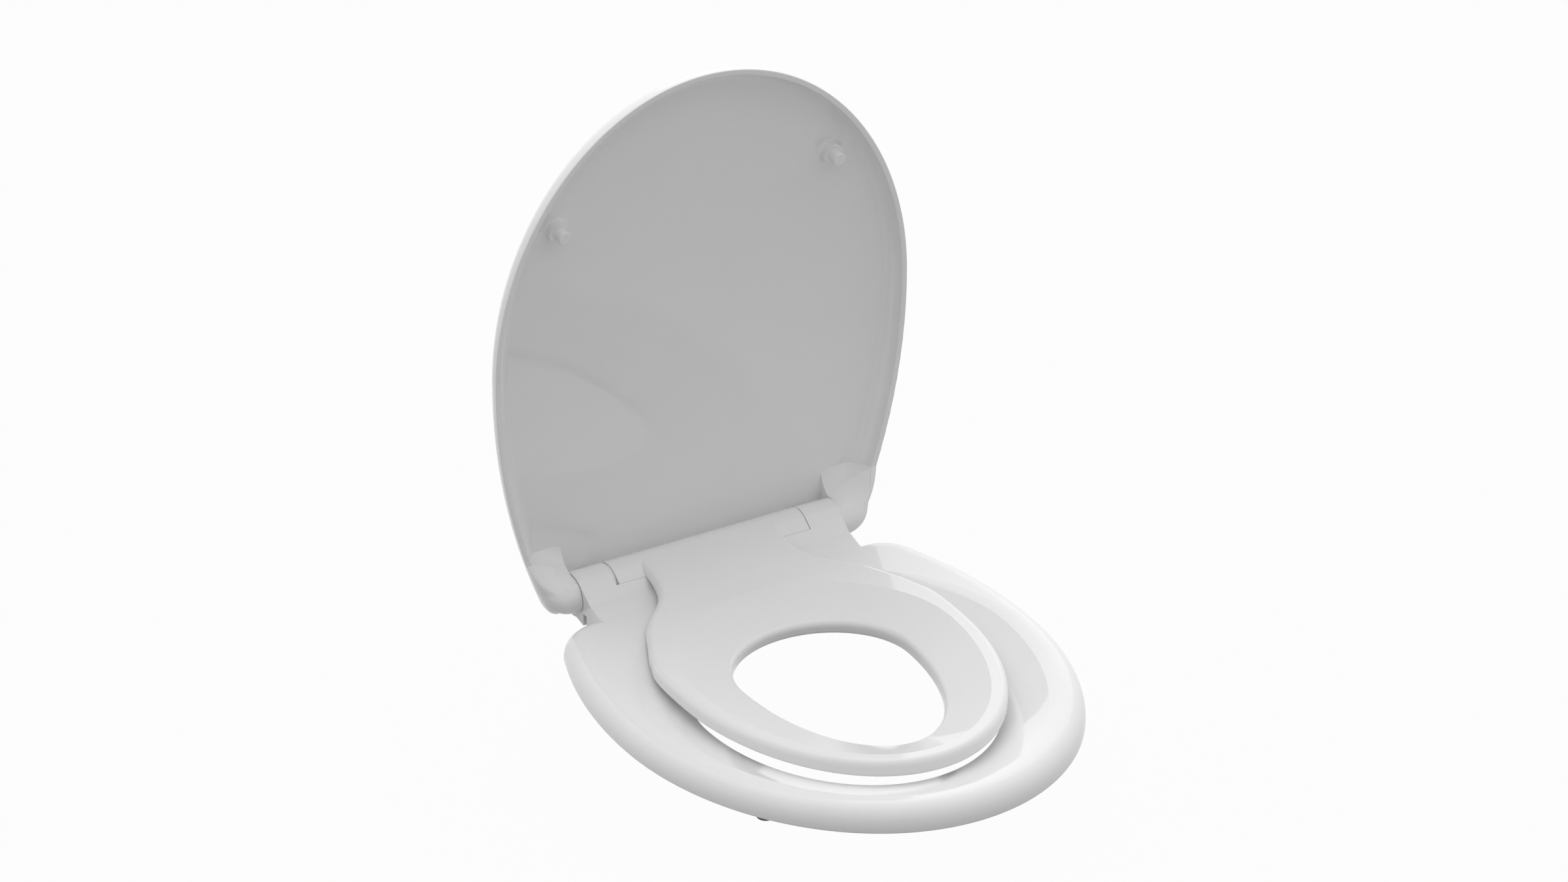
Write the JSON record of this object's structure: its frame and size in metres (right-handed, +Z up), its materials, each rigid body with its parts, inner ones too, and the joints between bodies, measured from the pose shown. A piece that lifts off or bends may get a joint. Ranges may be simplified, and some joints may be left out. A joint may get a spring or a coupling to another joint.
{
  "type": "toilet seat",
  "caption": "White family toilet seat with a lid, an adult ring and a smaller child's ring on one hinge line, bolted to the bowl.",
  "frame": {"origin": "on the bowl's top surface, midway between the two fixing bolts and straight below the hinge axis", "axes": "+Z up from the bowl, -Y towards the seat's front, +X to the right seen from the front"},
  "size_m": [0.371, 0.4553, 0.5239],
  "materials": {
    "white_plastic": "glossy",
    "white_fitting": "matte",
    "grey_rubber": "matte",
    "black_rubber": "matte",
    "steel": "satin"
  },
  "bodies": {
    "mount": {"hinge_post_left": "white_fitting", "hinge_pin_left": "steel", "base_pad_left": "grey_rubber", "bolt_left": "steel", "bolt_bush_left": "black_rubber", "washer_left": "white_fitting", "wing_nut_left": "white_fitting", "hinge_post_right": "white_fitting", "hinge_pin_right": "steel", "base_pad_right": "grey_rubber", "bolt_right": "steel", "bolt_bush_right": "black_rubber", "washer_right": "white_fitting", "wing_nut_right": "white_fitting"},
    "lid_body": {"lid": "white_plastic", "lid_buffer_left": "white_plastic", "lid_buffer_right": "white_plastic"},
    "adult_body": {"adult_seat": "white_plastic", "seat_foot_front_left": "grey_rubber", "seat_foot_front_right": "grey_rubber", "seat_foot_rear_left": "grey_rubber", "seat_foot_rear_right": "grey_rubber"},
    "child_body": {"child_seat": "white_plastic", "child_pad_left": "grey_rubber", "child_pad_right": "grey_rubber"}
  },
  "joints": [
    {"name": "lid_hinge", "type": "hinge", "parent": "mount", "child": "lid_body", "pos_m": [0, 0, 0.0295], "axis": [1, 0, 0], "range_deg": [0, 90]},
    {"name": "adult_hinge", "type": "hinge", "parent": "mount", "child": "adult_body", "pos_m": [0, 0, 0.0295], "axis": [-1, 0, 0], "range_deg": [0, 90]},
    {"name": "child_hinge", "type": "hinge", "parent": "adult_body", "child": "child_body", "pos_m": [0, 0, 0.0295], "axis": [-1, 0, 0], "range_deg": [0, 90]}
  ]
}
